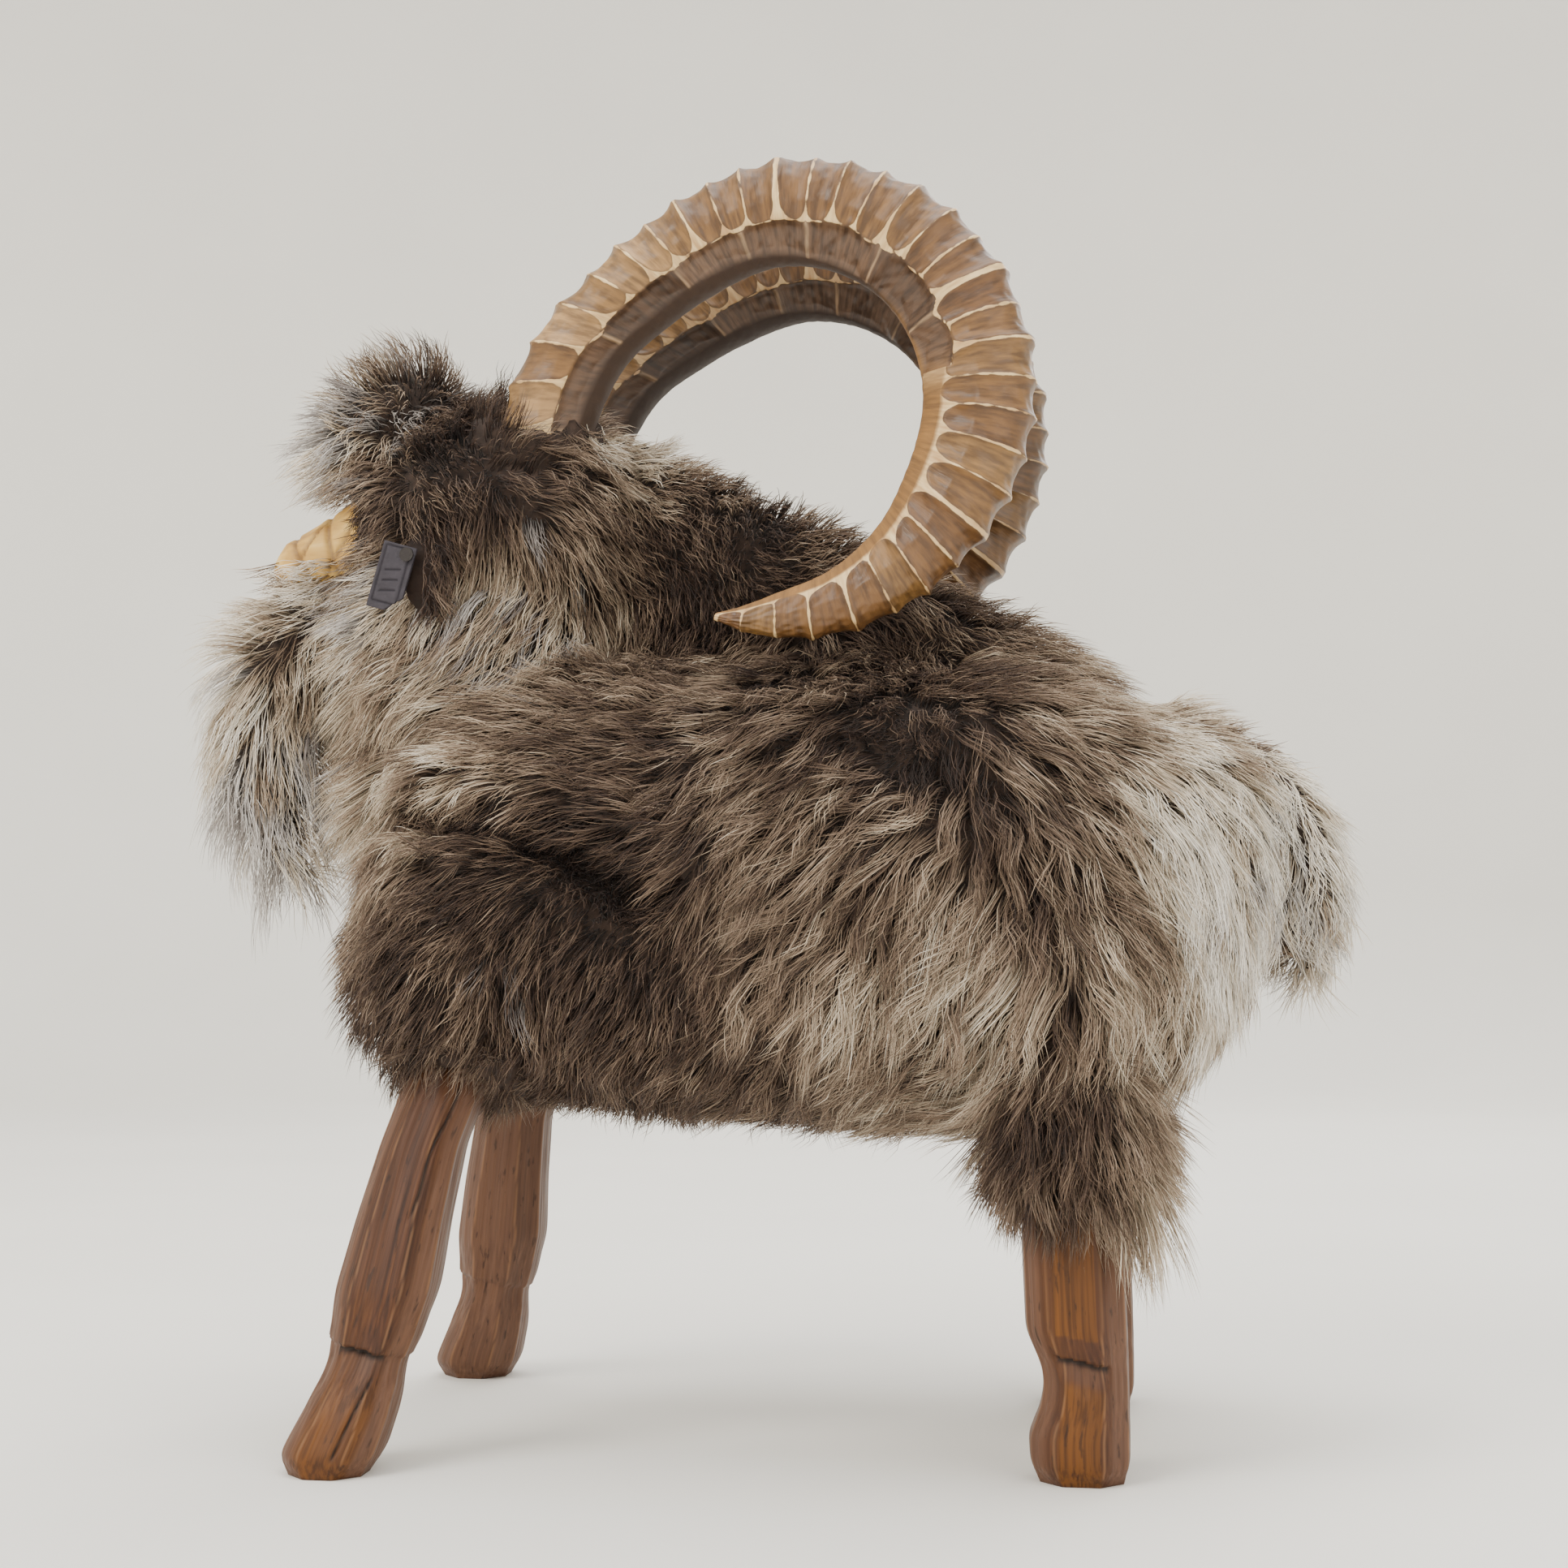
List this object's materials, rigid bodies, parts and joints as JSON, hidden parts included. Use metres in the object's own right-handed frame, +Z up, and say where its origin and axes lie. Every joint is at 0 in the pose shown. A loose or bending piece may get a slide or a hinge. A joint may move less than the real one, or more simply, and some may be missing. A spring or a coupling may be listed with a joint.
{
  "type": "ram stool",
  "caption": "Low stool shaped as a ram: carved wooden legs and ring-curled horns on a timber frame, padded and covered in long-wool sheepskin, with a leather ear tag.",
  "frame": {"origin": "on the floor, under the middle of the whole ram's bounding box", "axes": "+Z up, -Y towards the nose, +Y towards the tail, +X towards the ram's own left side"},
  "size_m": [0.344, 0.6702, 0.717],
  "materials": {
    "stained_pine": "brown stained and oiled, hand carved",
    "carved_horn_wood": "gouge carved, stained in the hollows and rubbed back to pale wood on the ridges",
    "pale_wood": "bare carved pale wood",
    "frame_timber": "sawn softwood, unfinished",
    "steel": "plain",
    "wadding": "felted wool wadding",
    "brown_fleece": "long wool sheepskin, warm brown",
    "light_fleece": "long wool sheepskin, beige and grey",
    "leather": "dark brown, smooth",
    "tag_leather": "dark grey, tooled"
  },
  "bodies": {
    "ram": {"leg_front_left": "stained_pine", "leg_rear_left": "stained_pine", "leg_front_right": "stained_pine", "leg_rear_right": "stained_pine", "seat_board": "frame_timber", "front_rail": "frame_timber", "rear_rail": "frame_timber", "side_rail_left": "frame_timber", "side_rail_right": "frame_timber", "neck_post": "frame_timber", "neck_brace": "frame_timber", "leg_bolt_front_left": "steel", "leg_bolt_rear_left": "steel", "seat_screw_front_left": "steel", "seat_screw_rear_left": "steel", "neck_screw_left": "steel", "leg_bolt_front_right": "steel", "leg_bolt_rear_right": "steel", "seat_screw_front_right": "steel", "seat_screw_rear_right": "steel", "neck_screw_right": "steel", "head_block": "pale_wood", "horn_left": "carved_horn_wood", "horn_dowel_left": "frame_timber", "horn_right": "carved_horn_wood", "horn_dowel_right": "frame_timber", "torso_padding": "wadding", "torso_fleece": "brown_fleece", "head_fleece": "brown_fleece", "ear_left": "leather", "ear_right": "leather", "neck_padding": "wadding", "neck_fleece": "light_fleece", "mane_fleece": "brown_fleece", "forehead_tuft": "brown_fleece", "beard_fleece": "light_fleece", "tail_tuft": "light_fleece", "rear_cuff_left": "brown_fleece", "rear_cuff_right": "brown_fleece", "tag_rivet": "steel"},
    "tag": {"ear_tag": "tag_leather"}
  },
  "joints": [
    {"name": "tag_swing", "type": "hinge", "parent": "ram", "child": "tag", "pos_m": [0.0918, -0.19023, 0.49444], "axis": [1, 0, 0], "range_deg": [-40, 70]}
  ]
}
